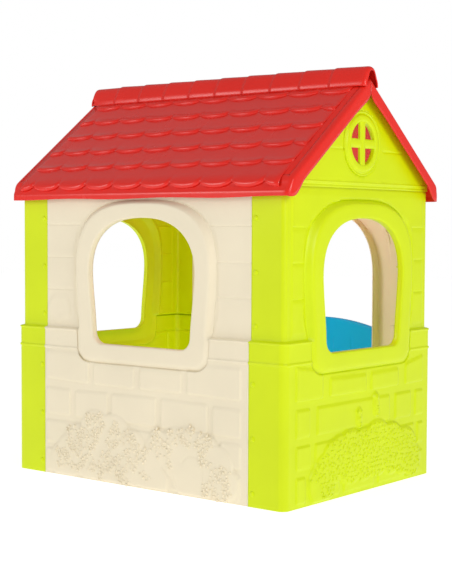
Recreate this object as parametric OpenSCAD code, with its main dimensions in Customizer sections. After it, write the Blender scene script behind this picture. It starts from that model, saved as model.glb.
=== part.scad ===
// Plastic playhouse: two stone-pattern walls held between two C-shaped gable walls by screws,
// triangular gable tops, a tiled roof in two slopes and an arched half-door on two hinge pins.
// Millimetres. Origin on the ground under the middle of the house, +Z up,
// the window wall faces -Y, the door wall faces +Y and the gable walls face -X and +X.

/* [House] */
// Length over the lower walls, from gable to gable
house_length = 1040; // [940:10:1260]
// Depth over the lower walls, from window wall to door wall
house_depth = 760; // [680:10:920]
// Height of the seam between the gable walls and the gable tops
seam_z = 871; // [860:1:1040]
// Height of the apex where the two roof slopes meet
apex_z = 1184; // [1150:2:1420]

/* [Wall skins] */
// Thickness of every moulded skin
skin = 3; // [2.6:0.1:4]
// How far the upper walls stand in from the lower walls
upper_inset = 11; // [8:0.5:14]
// Rounding of the vertical corners of the gable walls
corner_r = 14; // [8:1:20]
// How far the gable walls reach round each corner, at the bottom
return_width = 122; // [100:2:130]
// Width of the flange that the other walls tuck behind the gable walls
tuck_width = 44; // [36:1:48]
// Width of the inward flanges along the foot and the top of the walls
flange_width = 26; // [20:1:30]

/* [Belt] */
// Bottom of the belt course
belt_low = 388; // [380:1:392]
// Top of the belt course, where the wall steps in
belt_top = 454; // [450:1:460]
// How far the two beads of the belt stand out
bead_out = 3; // [2:0.5:3.5]
// Height of each bead
bead_h = 9; // [6:1:12]

/* [Windows] */
// Half width of a wall window at the springing of its arch
window_half = 206; // [170:1:208]
// Half width of a wall window at its foot
window_foot = 190; // [160:1:195]
// Height of the window sill
window_sill = 412; // [408:1:420]
// Height where the window arch begins
window_spring = 622; // [600:1:640]
// Height of the crown of the window arch
window_crown = 786; // [770:1:790]
// Width of the raised surround at the sides of a window
surround_side = 72; // [60:1:76]
// Width of the raised surround above and below a window
surround_end = 56; // [46:1:60]
// How far a surround stands out from the upper wall
surround_out = 13; // [11.5:0.5:14]
// Depth of the reveal behind the face of a surround
reveal = 20; // [16:1:26]

/* [Door] */
// Plain margin between the doorway's surround and the gable wall
door_margin = 6; // [4:1:26]
// Half width of the doorway
door_half = 195; // [170:1:196]
// Height of the sill under the doorway
door_sill = 48; // [40:1:60]
// Height where the doorway arch begins
door_spring = 600; // [560:1:610]
// Height of the crown of the doorway
door_crown = 812; // [780:1:816]
// Width of the stone surround of the doorway
door_surround = 68; // [60:1:76]
// Height of the half-door at the middle of its arched top
door_top = 469; // [440:1:500]
// Radius of the arched top of the half-door
door_top_r = 710; // [600:10:900]
// Thickness of the half-door
door_t = 22; // [20:1:24]
// Gap between the half-door and the doorway
door_gap = 1.8; // [1.5:0.1:2.5]
// Radius of the hinge pins
pin_r = 4; // [3.5:0.25:5]
// Running clearance of the hinge pins, on the radius
pin_clear = 0.06; // [0.03:0.01:0.09]

/* [Gable tops] */
// Radius of the round gable window
round_r = 61; // [50:1:64]
// Radius of the ring round it
ring_r = 92; // [84:1:94]
// Height of its middle
round_z = 1000; // [996:1:1004]
// Width of its glazing bars
bar_w = 28; // [20:1:30]

/* [Roof] */
// Overhang of the roof past the lower gable walls
verge_out = 19; // [17:1:30]
// Overhang of the roof past the lower side walls
eave_out = 4; // [4:0.5:12]
// Height of the bottom of the eaves
eave_low = 843; // [838:1:850]
// Height of the top of the eaves, where a slope begins
eave_top = 886; // [884:1:892]
// Depth of the upright verge boards at the gables
verge_drop = 46; // [38:1:50]
// Width of the flat verge band beside the tiles
verge_band = 38; // [30:1:46]
// Rows of tiles on each slope
tile_rows = 6; // [4:1:8]
// How far the lip of a tile row stands up
tile_lip = 9; // [6:1:10]
// Half width of the ridge cap
cap_half = 44; // [38:1:48]
// Height of the ridge cap over the apex
cap_h = 30; // [26:1:34]
// Length of one ridge tile
cap_pitch = 106; // [90:1:120]

/* [Screws] */
// Radius of a dome screw head
head_r = 7.5; // [6:0.5:8.5]
// Height of a dome screw head
head_h = 4; // [3:0.5:5]
// Radius of a screw shank
shank_r = 2.5; // [2:0.1:3]
// Clearance of a screw in its holes, on the radius
screw_clear = 0.1; // [0.05:0.05:0.3]

/* [Hidden] */
$fn = 48;
LIME = "#d8e81a";
CREAM = "#f1e7cd";
RED = "#dc281c";
BLUE = "#04b2e2";
STEEL = "#b9bcc0";
seat_gap = 0.2;                            // between pieces that rest on each other at a slant
edge_gap = 0.3;                            // between the edges of walls that meet at a seam
past = 30;                                 // how far a cutting shape runs past what it cuts
half_l = house_length / 2;                 // lower gable wall plane
half_d = house_depth / 2;                  // lower side wall plane
up_l = half_l - upper_inset;               // upper gable wall plane
up_d = half_d - upper_inset;               // upper side wall plane
seam_x = half_l - return_width;            // upright seam between the walls
wall_half = seam_x - edge_gap;             // half length of a side wall
door_x = seam_x - door_margin - door_surround - door_half; // middle of the doorway
roof_length = house_length + 2 * verge_out; // over the verges
eave_y = half_d + eave_out;
slope = (apex_z - eave_top) / eave_y;
pitch_angle = atan(slope);
first_row = 4;                             // from the eave up to the first tile lip
tile_foot = 0.5;                           // how far the foot of a tile lip stands off the plain slope
top_row = 12;                              // how much of the top row of tiles shows under the ridge cap
rows_end = (eave_y - cap_half - 4) / cos(pitch_angle); // where the tiles stop, beside the ridge cap
tile_row = (rows_end - top_row - first_row) / (tile_rows - 1);
skin_z = skin / cos(pitch_angle);          // a slope's skin, measured upright
side_top = roof_under(up_d) - 3;           // top of the side walls, just under the roof
window_foot_r = 38;                        // rounding of a window's lower corners
door_foot_r = 0.5;
door_head = eave_low - 1;                  // top of the stone surround, under the eaves
door_reveal = reveal + 14;
surround_face = surround_out - upper_inset; // its face, out from the lower wall plane
flange_end = 40;                           // where a flange stops short of a corner
tuck_lap = 8;                              // how far a tuck flange laps its own wall
screw_x = seam_x + 14;
upper_screws = [492, 638, 785];
lower_screws = [37, 186, 335];
screw_len = 16;
boss_r = 6;
boss_h = 8;
mortar = 16;                               // width of the joints between stones
stone_out = 2.5;                           // how far a stone stands out
wall_stone_edge = 6;                       // plain margin beside the stones of a side wall
gable_stone_edge = [50, 42];               // plain margins of a gable wall
bush_foot = 6;                             // ground line of the bushes
arc_steps = 10;                            // segments in a quarter of an arch
hinge_x = door_x - door_half + door_gap + door_t / 2;
door_face = half_d - 2;                    // outer face of the half-door, behind the lower wall plane
door_rear = door_face - door_t;
hinge_y = door_face - door_t / 2;
free_x = door_x + door_half - door_gap;    // free edge of the half-door
washer_h = 2;
door_low = door_sill + washer_h + seat_gap; // the half-door stands on a washer
stop_gap = 2;                              // between the half-door and its stop
stop_t = 4;
stop_w = 12;
stop_top = 340;
lug_r = door_t / 2 - 1;
lug_h = 12;
lug_z = door_top_z(hinge_x) + 4;           // underside of the upper hinge lug
lug_gap = 3;                               // between the lug and the hinge barrel under it
seat_h = 10;                               // depth of the lower hinge seat under the sill
pin_head_r = 7;
pin_head_h = 3;
pin_grip = 30;                             // length of a pin inside the half-door
pin_end = 2;                               // space left past the end of a pin
plank_top = 410;                           // top of the grooves between the planks
plank_w = 74;
groove_w = 6;
groove_d = 1.2;
flange_screw_y = [-240, 0, 240];
flange_screw_x = up_l - flange_width / 2;
short_screw = 12;
roof_screw_y = [110, 290];
roof_bite = skin - 0.8;                    // how far a roof screw enters the roof's skin
roof_screw_x = flange_screw_x - 2;
ridge_screw_x = [-400, -135, 135, 400];
ridge_screw_z = apex_z - 22;
ridge_flange = 34;                         // depth of the flanges that meet under the ridge
ridge_flange_end = 60;
verge_block = 24;                          // solid length under the ends of the tile rows
ring_out = 3;                              // how far the outer line round the gable window stands out
ring_line = 5;
ring_step = 9;                             // from the outer line in to the raised ring
ring_depth = 6;
cap_side = 12;                             // height of the upright sides of the ridge cap, below the apex
cap_shoulder = [20, 7];                    // half width of the cap's shoulder, and its drop below the top
cap_flat = 10;                             // half width of the cap's top
cap_collar = [24, 2.5];                    // length and height of the collar that starts a ridge tile

// Height of the half-door's arched top at one place along the wall
function door_top_z(x) = door_top - door_top_r + sqrt(door_top_r * door_top_r - pow(x - door_x, 2));

// Underside of the roof at a distance from the ridge
function roof_under(y) = apex_z - skin_z - slope * abs(y);

// Superellipse arch from the right springing over the crown to the left springing
function arch(half, spring, crown) = [
  for (i = [0:2 * arc_steps]) let (a = 90 * i / arc_steps, n = 2 / 2.4)
    [half * sign(cos(a)) * pow(abs(cos(a)), n), spring + (crown - spring) * pow(abs(sin(a)), n)]
];

// Quarter turn of a rounded corner about its own centre
function corner(x, z, r, from) = [
  for (i = [0:4]) let (a = from + 90 * i / 4) [x + r * cos(a), z + r * sin(a)]
];

// Outline of an arched opening on a rounded foot, grown sideways, upwards and downwards
function opening(half, foot, sill, spring, crown, r) = concat(
  arch(half, spring, crown),
  corner(-foot + r, sill + r, r, 180),
  corner(foot - r, sill + r, r, 270)
);

function window_outline(side = 0, end = 0) = opening(
  window_half + side, window_foot + side, window_sill - end,
  window_spring, window_crown + end, window_foot_r + side * 0.4
);

module facing_front() { rotate([90, 0, 0]) children(); }
module facing_back() { mirror([0, 1, 0]) facing_front() children(); }
module facing_right() { rotate([90, 0, 90]) children(); }

// Extrusion between two distances out from the middle of the house
module between(low, high) {
  translate([0, 0, low]) linear_extrude(high - low) children();
}

module rect(x0, x1, z0, z1) { translate([x0, z0]) square([x1 - x0, z1 - z0]); }

module round_rect(x, y, r) {
  square([2 * (x - r), 2 * y], center = true);
  square([2 * x, 2 * (y - r)], center = true);
  for (sx = [-1, 1], sy = [-1, 1]) translate([sx * (x - r), sy * (y - r)]) circle(r);
}

// Hollow raised surround with its reveal; face is its distance from the middle of the house
module surround(face, back, side, end) {
  between(face - skin, face) difference() {
    polygon(window_outline(side, end));
    polygon(window_outline());
  }
  between(back, face) difference() {
    polygon(window_outline(side, end));
    polygon(window_outline(side - skin, end - skin));
  }
  between(face - reveal, face) difference() {
    polygon(window_outline(skin, skin));
    polygon(window_outline());
  }
}

// Outline of the doorway, grown by one amount and kept under the eaves
function door_outline(grow, low, top = door_head) = [
  for (p = opening(door_half + grow, door_half + grow, low, door_spring, door_crown + grow, door_foot_r))
    [p[0], min(p[1], top)]
];

// Courses of stones on a lower wall: height range, then the places of the upright joints
window_courses = [
  [290, 352, [-198, -12, 168]],
  [186, 268, [-275, -122, 72, 262]],
  [98, 168, [-206, -30, 150, 300]],
  [8, 80, [-290, -110, 60, 240]],
];
door_courses = [
  [290, 372, [-292]],
  [186, 268, [-232]],
  [98, 168, [-300]],
  [8, 80, [-216]],
];
gable_courses = [
  [290, 340, [-190, 22, 212]],
  [190, 268, [-248, -110, 110, 272]],
  [104, 168, [-258, -80, 90, 282]],
  [10, 82, [-262, -120, 60, 230]],
];

module stones(courses, x0, x1, plane) {
  for (course = courses) {
    ends = concat([x0 - mortar / 2], course[2], [x1 + mortar / 2]);
    for (i = [0:len(ends) - 2])
      between(plane - skin / 2, plane + stone_out)
        rect(ends[i] + mortar / 2, ends[i + 1] - mortar / 2, course[0], course[1]);
  }
}

// Flowering bush: overlapping round lobes cut off level at the ground
module bush(lobes, plane) {
  between(plane - skin / 2, plane + bead_out) intersection() {
    union() for (lobe = lobes) translate([lobe[0], lobe[1]]) circle(lobe[2]);
    rect(-half_l, half_l, bush_foot, belt_low);
  }
}

// Plan of a skin along one side wall, out to a plane
module side_plan(x, plane) { translate([-x, plane - skin]) square([2 * x, skin]); }

// One side wall without its openings, drawn with its outer face towards +Y
module side_wall_blank() {
  linear_extrude(belt_top) side_plan(wall_half, half_d);
  translate([0, 0, belt_top - skin]) linear_extrude(skin)
    translate([-wall_half, up_d - skin]) square([2 * wall_half, upper_inset + skin]);
  translate([0, 0, belt_top - skin]) linear_extrude(side_top - belt_top + skin) side_plan(wall_half, up_d);
  translate([-seam_x, half_d - flange_width, 0]) cube([2 * seam_x, flange_width - skin / 2, skin]);
  translate([-seam_x, up_d - flange_width, side_top - skin])
    cube([2 * seam_x, flange_width - skin / 2, skin]);
  for (z = [belt_low, belt_top - bead_h]) translate([0, 0, z])
    linear_extrude(bead_h) translate([0, bead_out]) side_plan(wall_half, half_d);
  for (s = [-1, 1]) {
    tuck(s, half_d, 0, belt_top - skin - 0.5, lower_screws);
    tuck(s, up_d, belt_top, side_top, upper_screws);
  }
}

// Flange behind the return of a gable wall, with a boss for each seam screw
module tuck(s, plane, z0, z1, screws) {
  difference() {
    union() {
      translate([s * (seam_x + tuck_width / 2 - tuck_lap) - tuck_width / 2 - tuck_lap, plane - 2 * skin, z0])
        cube([tuck_width + 2 * tuck_lap, skin, z1 - z0]);
      for (z = screws) translate([s * screw_x, plane - skin - 0.5, z]) rotate([90, 0, 0])
        cylinder(r = boss_r, h = boss_h + skin - 0.5);
    }
    for (z = screws) translate([s * screw_x, plane, z]) rotate([90, 0, 0])
      cylinder(r = shank_r + screw_clear, h = past);
  }
}

module window_wall() {
  color(CREAM) {
    facing_front() difference() {
      union() {
        rotate([-90, 0, 0]) mirror([0, 1, 0]) side_wall_blank();
        stones(window_courses, -seam_x + wall_stone_edge, seam_x - wall_stone_edge, half_d);
        bush([[-300, 50, 62], [-225, 110, 66], [-128, 130, 88], [-30, 110, 60], [30, 45, 70]], half_d);
        bush([[75, 110, 62], [165, 130, 70], [250, 120, 66], [315, 50, 58]], half_d);
      }
      between(up_d - reveal - past, half_d + past)
        polygon(window_outline(surround_side - skin, surround_end - skin));
    }
    facing_front() surround(half_d + surround_face, up_d - skin, surround_side, surround_end);
  }
}

module door_wall() {
  face = half_d + surround_face;
  color(CREAM) difference() {
    union() {
      facing_back() difference() {
        union() {
          rotate([-90, 0, 0]) mirror([0, 1, 0]) side_wall_blank();
          stones(door_courses, -seam_x + wall_stone_edge, door_x - door_half - door_surround - mortar, half_d);
        }
        translate([door_x, 0, 0]) between(up_d - reveal - past, half_d + past)
          polygon(door_outline(door_surround - skin, door_sill, door_head - skin));
      }
      facing_back() translate([door_x, 0, 0]) {
        between(face - skin, face) difference() {
          polygon(door_outline(door_surround, 0));
          polygon(door_outline(0, door_sill));
        }
        between(up_d - skin, face) difference() {
          polygon(door_outline(door_surround, 0));
          polygon(door_outline(door_surround - skin, skin, door_head - skin));
        }
        between(face - door_reveal, face) difference() {
          polygon(door_outline(skin, door_sill - skin));
          polygon(door_outline(0, door_sill));
        }
        between(door_rear - stop_gap - stop_t, door_rear - stop_gap)
          rect(door_half - stop_w, door_half + 1, door_sill - 1, stop_top);
      }
      hinge_lug();
      translate([hinge_x, hinge_y, door_sill - seat_h]) cylinder(r = lug_r, h = seat_h - 1);
    }
    translate([hinge_x, hinge_y, lug_z - 1]) cylinder(r = pin_r + pin_clear, h = lug_h + 2);
    translate([hinge_x, hinge_y, door_sill - seat_h - 1]) cylinder(r = pin_r + pin_clear, h = seat_h + 2);
  }
}

// Lug on the doorway's edge that holds the upper hinge pin over the half-door
module hinge_lug() {
  translate([hinge_x, hinge_y, lug_z]) cylinder(r = lug_r, h = lug_h);
  translate([hinge_x - door_t / 2 - door_gap - skin / 2, hinge_y - lug_r, lug_z])
    cube([door_t / 2 + door_gap + skin / 2, 2 * lug_r, lug_h]);
}

// Plan of a gable wall: its face and its two returns, cut off at the seams
module gable_plan(x, y) {
  difference() {
    round_rect(x, y, corner_r);
    round_rect(x - skin, y - skin, corner_r - skin);
    translate([-half_l - 1, -half_d - 10]) square([half_l + 1 + seam_x, house_depth + 20]);
  }
}

module gable_wall() {
  face = half_l + surround_face;
  difference() {
    union() {
      linear_extrude(belt_top) gable_plan(half_l, half_d);
      for (z = [belt_low, belt_top - bead_h]) translate([0, 0, z]) linear_extrude(bead_h)
        difference() {
          round_rect(half_l + bead_out, half_d + bead_out, corner_r + bead_out);
          round_rect(half_l - skin, half_d - skin, corner_r - skin);
          translate([-half_l - 10, -half_d - 10]) square([half_l + 10 + seam_x, house_depth + 20]);
        }
      translate([0, 0, belt_top - skin]) linear_extrude(skin) difference() {
        round_rect(half_l, half_d, corner_r);
        round_rect(up_l - skin, up_d - skin, corner_r - skin);
        translate([-half_l - 10, -half_d - 10]) square([half_l + 10 + seam_x, house_depth + 20]);
      }
      translate([0, 0, belt_top - skin]) linear_extrude(seam_z - belt_top + skin) gable_plan(up_l, up_d);
      translate([half_l - flange_width, -half_d + flange_end, 0])
        cube([flange_width - skin / 2, 2 * (half_d - flange_end), skin]);
      translate([up_l - flange_width, -up_d + flange_end, seam_z - skin])
        cube([flange_width - skin / 2, 2 * (up_d - flange_end), skin]);
      facing_right() {
        stones(gable_courses, -half_d + gable_stone_edge[0], half_d - gable_stone_edge[1], half_l);
        bush([[-200, 45, 66], [-150, 100, 68], [-60, 105, 82], [40, 130, 86], [140, 105, 84],
              [225, 70, 66], [290, 40, 40]], half_l);
      }
    }
    facing_right() between(up_l - reveal - past, half_l + past)
      polygon(window_outline(surround_side - skin, surround_end - skin));
    for (s = [-1, 1], z = concat(lower_screws, upper_screws)) translate([screw_x, s * (half_d + 5), z])
      rotate([s * 90, 0, 0]) cylinder(r = shank_r + screw_clear, h = upper_inset + skin + 10);
    for (y = flange_screw_y) translate([flange_screw_x, y, seam_z - 10])
      cylinder(r = shank_r + screw_clear, h = 20);
  }
  facing_right() surround(face, up_l - skin, surround_side, surround_end);
}

module gable_wall_right() { color(LIME) gable_wall(); }
module gable_wall_left() { color(LIME) rotate([0, 0, 180]) gable_wall(); }

// Triangle under the roof: half its foot, and a drop below the roof's underside
module gable_triangle(drop) {
  polygon([
    [-up_d, seam_z], [up_d, seam_z], [up_d, roof_under(up_d) - seat_gap - drop],
    [0, roof_under(0) - seat_gap - drop], [-up_d, roof_under(up_d) - seat_gap - drop],
  ]);
}

module gable_top() {
  difference() {
    facing_right() {
      between(up_l - skin, up_l) difference() {
        gable_triangle(0);
        translate([0, round_z]) circle(round_r);
      }
      between(up_l - flange_width, up_l - skin / 2) difference() {
        gable_triangle(0);
        gable_triangle(skin_z);
        rect(-up_d - 1, up_d + 1, seam_z, seam_z + flange_width);
      }
      between(up_l - flange_width, up_l - skin / 2)
        rect(-up_d + flange_end, up_d - flange_end, seam_z, seam_z + skin);
      between(up_l - skin / 2, up_l + ring_out) {
        rect(-up_d + corner_r, up_d - corner_r, seam_z + 2 * ring_line, seam_z + 3 * ring_line);
        difference() {
          translate([0, round_z]) circle(ring_r);
          translate([0, round_z]) circle(ring_r - ring_line);
        }
      }
      between(up_l - skin - ring_depth, up_l + ring_depth) difference() {
        translate([0, round_z]) circle(ring_r - ring_step);
        translate([0, round_z]) circle(round_r);
      }
      between(up_l - ring_depth, up_l + ring_out) intersection() {
        translate([0, round_z]) circle(round_r + 2);
        union() {
          translate([0, round_z]) square([bar_w, 2 * ring_r], center = true);
          translate([0, round_z]) square([2 * ring_r, bar_w], center = true);
        }
      }
    }
    for (y = flange_screw_y) translate([flange_screw_x, y, seam_z - 10])
      cylinder(r = shank_r + screw_clear, h = 24);
    roof_screw_places() cylinder(r = shank_r + screw_clear, h = 30, center = true);
  }
}

// Places square to the roof's underside where a gable top is screwed up to the roof
module roof_screw_places() {
  for (s = [-1, 1], y = roof_screw_y)
    translate([roof_screw_x, s * y, roof_under(y)]) rotate([-s * pitch_angle, 0, 0])
      children();
}

module gable_top_right() { color(LIME) gable_top(); }
module gable_top_left() { color(LIME) rotate([0, 0, 180]) gable_top(); }

// Point on the +Y slope: distance up from the eave, and distance out from the slope's face
function on_slope(u, v) = [
  eave_y - u * cos(pitch_angle) + v * sin(pitch_angle),
  eave_top + u * sin(pitch_angle) + v * cos(pitch_angle)
];

// Foot and head of each tile lip, from the eave to the ridge
function lips(shift, v, rows) = [
  for (i = [0:rows - 1], w = [tile_foot, tile_lip]) on_slope(first_row + i * tile_row + shift, w + v)
];

// Outer face of the rows of tiles, down to the slope beside the ridge cap
function tile_faces() = concat(
  lips(0, 0, tile_rows), [on_slope(rows_end, tile_lip - 1), on_slope(rows_end, 0)]
);

function backwards(list) = [for (i = [1:len(list)]) list[len(list) - i]];

// Foot of the eave board and its top edge, at the start of each section of the slope
function eave_face() = [[eave_y, eave_low], [eave_y, eave_top]];

// Plain underside of the slope, from the ridge back to the eave board
function plain_under() = [
  [0, apex_z], [0, roof_under(0)], [eave_y - skin, roof_under(eave_y - skin)], [eave_y - skin, eave_low],
];

// Roof slope on the +Y side: stepped skin, solid ends to the tile rows, plain verges, verge boards and ridge flange
module roof_slope() {
  half = roof_length / 2;
  hollow = half - verge_band - verge_block;
  rotate([90, 0, 90]) {
    translate([0, 0, -hollow]) linear_extrude(2 * hollow) polygon(concat(
      eave_face(), tile_faces(),
      [[0, apex_z], [0, roof_under(0)], on_slope(rows_end - top_row + skin, tile_foot - skin)],
      backwards(lips(skin, -skin, tile_rows - 1)),
      [[eave_y - skin, roof_under(eave_y - skin)], [eave_y - skin, eave_low]]
    ));
    for (x = [-half + verge_band, hollow]) translate([0, 0, x]) linear_extrude(verge_block)
      polygon(concat(eave_face(), tile_faces(), plain_under()));
    for (x = [-half, half - verge_band]) translate([0, 0, x]) linear_extrude(verge_band)
      polygon(concat(eave_face(), [on_slope(rows_end, 0)], plain_under()));
    for (x = [-half, half - skin]) translate([0, 0, x]) linear_extrude(skin) polygon([
      [eave_y, eave_low], [eave_y, eave_top], on_slope(rows_end, 0), [0, apex_z], [0, apex_z - verge_drop],
      [eave_y - 8, apex_z - verge_drop - slope * (eave_y - 8) + 2], [eave_y - 8, eave_low],
    ]);
    translate([0, 0, -half + ridge_flange_end]) linear_extrude(roof_length - 2 * ridge_flange_end)
      rect(0, skin, apex_z - ridge_flange, apex_z - skin);
  }
}

// Section of the ridge cap, grown by one amount all round
function cap_section(grow, foot) = [
  [cap_half + grow, foot], [cap_half - 1 + grow, apex_z - cap_side],
  [cap_shoulder[0] + grow / 2, apex_z + cap_h - cap_shoulder[1] + grow], [cap_flat, apex_z + cap_h + grow],
  [-cap_flat, apex_z + cap_h + grow], [-cap_shoulder[0] - grow / 2, apex_z + cap_h - cap_shoulder[1] + grow],
  [-cap_half + 1 - grow, apex_z - cap_side], [-cap_half - grow, foot],
];

// Ridge cap, moulded with the slope on the window side and lying over the other slope
module ridge_cap() {
  half = roof_length / 2;
  foot = apex_z - slope * (cap_half - skin) + 0.4;
  tiles = floor((half - flange_width) / cap_pitch);
  rotate([90, 0, 90]) difference() {
    union() {
      translate([0, 0, -half]) linear_extrude(roof_length) polygon(cap_section(0, foot));
      for (i = [-tiles:tiles]) translate([0, 0, i * cap_pitch]) linear_extrude(cap_collar[0])
        polygon(cap_section(cap_collar[1], foot));
    }
    translate([0, 0, -half + skin]) linear_extrude(roof_length - 2 * skin)
      polygon(cap_section(-skin, foot - 9));
    translate([0, 0, -half - 1]) linear_extrude(roof_length + 2)
      polygon([[-eave_y, eave_top + 0.2], [0, apex_z + 0.2], [eave_y, eave_top + 0.2]]);
  }
  rotate([90, 0, 90]) translate([0, 0, -half]) linear_extrude(roof_length) polygon([
    [-cap_half, apex_z - slope * cap_half - 1], [-cap_half, foot + 4],
    [-cap_half + skin, foot + 4], [-cap_half + skin, apex_z - slope * (cap_half - skin) - 1],
  ]);
}

module roof_bores() {
  for (sx = [-1, 1], sy = [-1, 1], y = roof_screw_y)
    translate([sx * roof_screw_x, sy * y, roof_under(y)])
      rotate([-sy * pitch_angle, 0, 0]) translate([0, 0, -1])
        cylinder(r = shank_r + screw_clear, h = 1 + roof_bite + 0.3);
  for (x = ridge_screw_x) translate([x, 0, ridge_screw_z]) rotate([90, 0, 0])
    cylinder(r = shank_r + screw_clear, h = past, center = true);
}

module roof_window_side() {
  color(RED) difference() {
    union() {
      mirror([0, 1, 0]) roof_slope();
      ridge_cap();
    }
    roof_bores();
  }
}

module roof_door_side() {
  color(RED) difference() {
    roof_slope();
    roof_bores();
  }
}

module half_door() {
  barrel_top = lug_z - lug_gap;
  color(BLUE) difference() {
    union() {
      facing_back() between(door_rear, door_face) intersection() {
        rect(hinge_x, free_x, door_low, door_top + 1);
        translate([door_x, door_top - door_top_r]) circle(r = door_top_r, $fn = 360);
      }
      translate([hinge_x, hinge_y, door_low]) cylinder(r = door_t / 2, h = barrel_top - door_low);
    }
    translate([hinge_x - door_t, door_rear - 1, lug_z - pin_end]) cube([door_t * 2, door_t + 2, past]);
    facing_back() between(door_rear + skin, door_face - skin) intersection() {
      rect(hinge_x + door_t / 2 + skin, free_x - skin, door_low - 1, door_top);
      translate([door_x, door_top - door_top_r]) circle(r = door_top_r - skin, $fn = 360);
    }
    facing_back() between(door_face - groove_d, door_face + 1) for (i = [1:4])
      translate([hinge_x + i * plank_w, 0]) rect(-groove_w / 2, groove_w / 2, door_low + past, plank_top);
    translate([hinge_x, hinge_y, door_low - 1]) cylinder(r = pin_r + pin_clear, h = pin_grip + 1);
    translate([hinge_x, hinge_y, barrel_top - pin_grip]) cylinder(r = pin_r + pin_clear, h = pin_grip + 1);
  }
}

module hinge_pin_lower() {
  low = door_sill - seat_h - pin_head_h;
  color(STEEL) translate([hinge_x, hinge_y, 0]) {
    translate([0, 0, low]) cylinder(r = pin_head_r, h = pin_head_h);
    translate([0, 0, low]) cylinder(r = pin_r, h = door_low + pin_grip - pin_end - low);
  }
}

module hinge_pin_upper() {
  color(STEEL) translate([hinge_x, hinge_y, lug_z + lug_h]) {
    cylinder(r = pin_head_r, h = pin_head_h);
    translate([0, 0, -lug_h - pin_grip + pin_end]) cylinder(r = pin_r, h = lug_h + pin_grip);
  }
}

module hinge_washer() {
  color(CREAM) translate([hinge_x, hinge_y, door_sill]) difference() {
    cylinder(r = lug_r, h = washer_h);
    translate([0, 0, -1]) cylinder(r = pin_r + pin_clear, h = washer_h + 2);
  }
}

// Dome-headed screw pointing down, with the underside of its head at the origin
module screw(length) {
  rotate_extrude() polygon(concat(
    [[0, 0]],
    [for (i = [0:5]) [head_r * cos(18 * i), head_h * sin(18 * i)]]
  ));
  translate([0, 0, -length]) cylinder(r = shank_r, h = length + head_h / 2);
}

module seam_screws(sx, sy) {
  color(LIME) for (z = concat(lower_screws, upper_screws))
    translate([sx * screw_x, sy * (z < belt_top ? half_d : up_d), z]) rotate([-sy * 90, 0, 0])
      screw(screw_len);
}

module gable_screws(sx) {
  color(STEEL) for (y = flange_screw_y)
    translate([sx * flange_screw_x, y, seam_z + skin]) screw(short_screw);
}

module roof_screws(sx) {
  color(STEEL) rotate([0, 0, sx < 0 ? 180 : 0]) roof_screw_places()
    translate([0, 0, -skin - seat_gap]) mirror([0, 0, 1]) screw(skin + seat_gap + roof_bite);
}

module ridge_screws() {
  color(STEEL) for (x = ridge_screw_x)
    translate([x, skin, ridge_screw_z]) rotate([-90, 0, 0]) screw(short_screw);
}

window_wall();
door_wall();
gable_wall_left();
gable_wall_right();
gable_top_left();
gable_top_right();
roof_window_side();
roof_door_side();
half_door();
hinge_pin_upper();
hinge_pin_lower();
hinge_washer();
seam_screws(-1, -1);  // seam_screws_window_left
seam_screws(1, -1);  // seam_screws_window_right
seam_screws(-1, 1);  // seam_screws_door_left
seam_screws(1, 1);  // seam_screws_door_right
gable_screws(-1);  // gable_screws_left
gable_screws(1);  // gable_screws_right
roof_screws(-1);  // roof_screws_left
roof_screws(1);  // roof_screws_right
ridge_screws();
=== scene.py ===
import math

import bmesh
import bpy
from mathutils import Matrix, Vector


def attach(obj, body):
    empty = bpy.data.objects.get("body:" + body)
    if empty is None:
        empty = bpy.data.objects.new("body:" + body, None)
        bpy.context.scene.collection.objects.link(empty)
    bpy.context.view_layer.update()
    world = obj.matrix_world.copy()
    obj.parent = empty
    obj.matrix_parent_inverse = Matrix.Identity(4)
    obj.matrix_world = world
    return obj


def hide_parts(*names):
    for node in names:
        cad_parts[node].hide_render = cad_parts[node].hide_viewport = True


bl_info = {
    "name": "Plastic Playhouse",
    "version": (1, 0, 0),
    "blender": (4, 5, 0),
    "location": "3D View > Sidebar > Playhouse",
    "description": "Builds the moulded pieces of a children's playhouse round its packed frame",
    "category": "Object",
}

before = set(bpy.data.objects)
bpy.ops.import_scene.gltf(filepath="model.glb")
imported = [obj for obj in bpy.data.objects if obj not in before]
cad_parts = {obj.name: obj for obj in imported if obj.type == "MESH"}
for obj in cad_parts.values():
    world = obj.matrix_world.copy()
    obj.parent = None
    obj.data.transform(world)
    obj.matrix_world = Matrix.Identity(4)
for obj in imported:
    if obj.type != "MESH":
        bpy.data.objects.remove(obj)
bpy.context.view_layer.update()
MM = 0.001

# Planes and heights of the house, in millimetres
HALF_LENGTH = 520.0   # lower gable wall plane
HALF_DEPTH = 380.0    # lower side wall plane
INSET = 11.0          # how far the upper walls stand in
RETURN_SEAM = 398.0   # where the gable walls' returns end
SIDE_TOP = 889.0      # top of the side walls, under the roof
SEAM_Z = 871.0        # seam between gable walls and gable tops
BELT_LOW, BELT_TOP = 388.0, 454.0
BEAD_HEIGHT, BEAD_OUT = 9.0, 3.0
SKIN = 3.0
APEX_Z = 1184.0
EAVE_Y, EAVE_TOP, EAVE_LOW = 384.0, 886.0, 840.0
PITCH = math.atan((APEX_Z - EAVE_TOP) / EAVE_Y)
ROOF_HALF = 539.0
EAVE_RIM = 5.5        # how far the eave board stands out under the tiles
BEND_U, BEND_RADIUS = 24.0, 44.0   # the slope bends down over the eave from here
BEND_Y, BEND_Z = -EAVE_Y + BEND_U * math.cos(PITCH), EAVE_TOP + BEND_U * math.sin(PITCH)
VERGE_BAND = 38.0     # width of the plain edge beside the tiles
TILE_ROW = 85.0
DOOR_X, DOOR_HALF, DOOR_SILL = 129.0, 195.0, 48.0

# Strengths of the studio's soft light
ROOM_LIGHT, FLOOR_GLOW = 0.38, 0.80

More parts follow.
